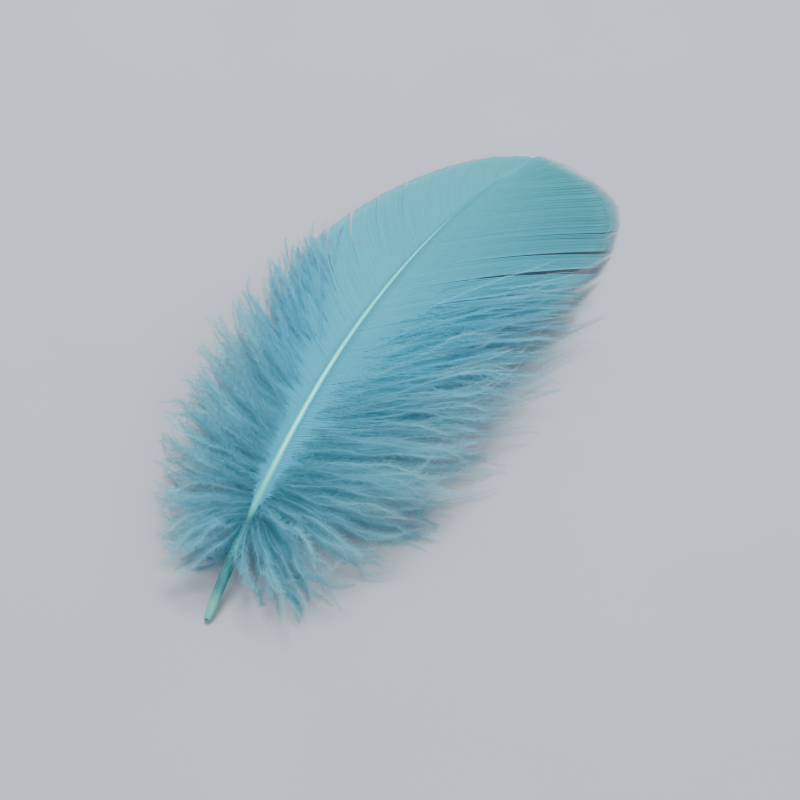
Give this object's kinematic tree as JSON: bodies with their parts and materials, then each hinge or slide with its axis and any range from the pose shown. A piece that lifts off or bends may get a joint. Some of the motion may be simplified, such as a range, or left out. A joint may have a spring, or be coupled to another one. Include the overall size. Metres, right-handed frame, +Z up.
{
  "type": "feather",
  "caption": "Loose dyed goose feather: bare quill, pale bowed shaft, fluffy down around its base and a broad, smooth, round-ended vane, lying hollow side down.",
  "frame": {"origin": "middle of the bounding box, on the table the feather lies on", "axes": "+Y from the quill to the vane's tip, +X towards the broader web, +Z up, away from the table"},
  "size_m": [0.0832, 0.178, 0.0209],
  "materials": {
    "barbs": "dyed barbs, soft satin on the vane and matte on the down"
  },
  "bodies": {
    "root": {"feather": "barbs"}
  },
  "joints": []
}
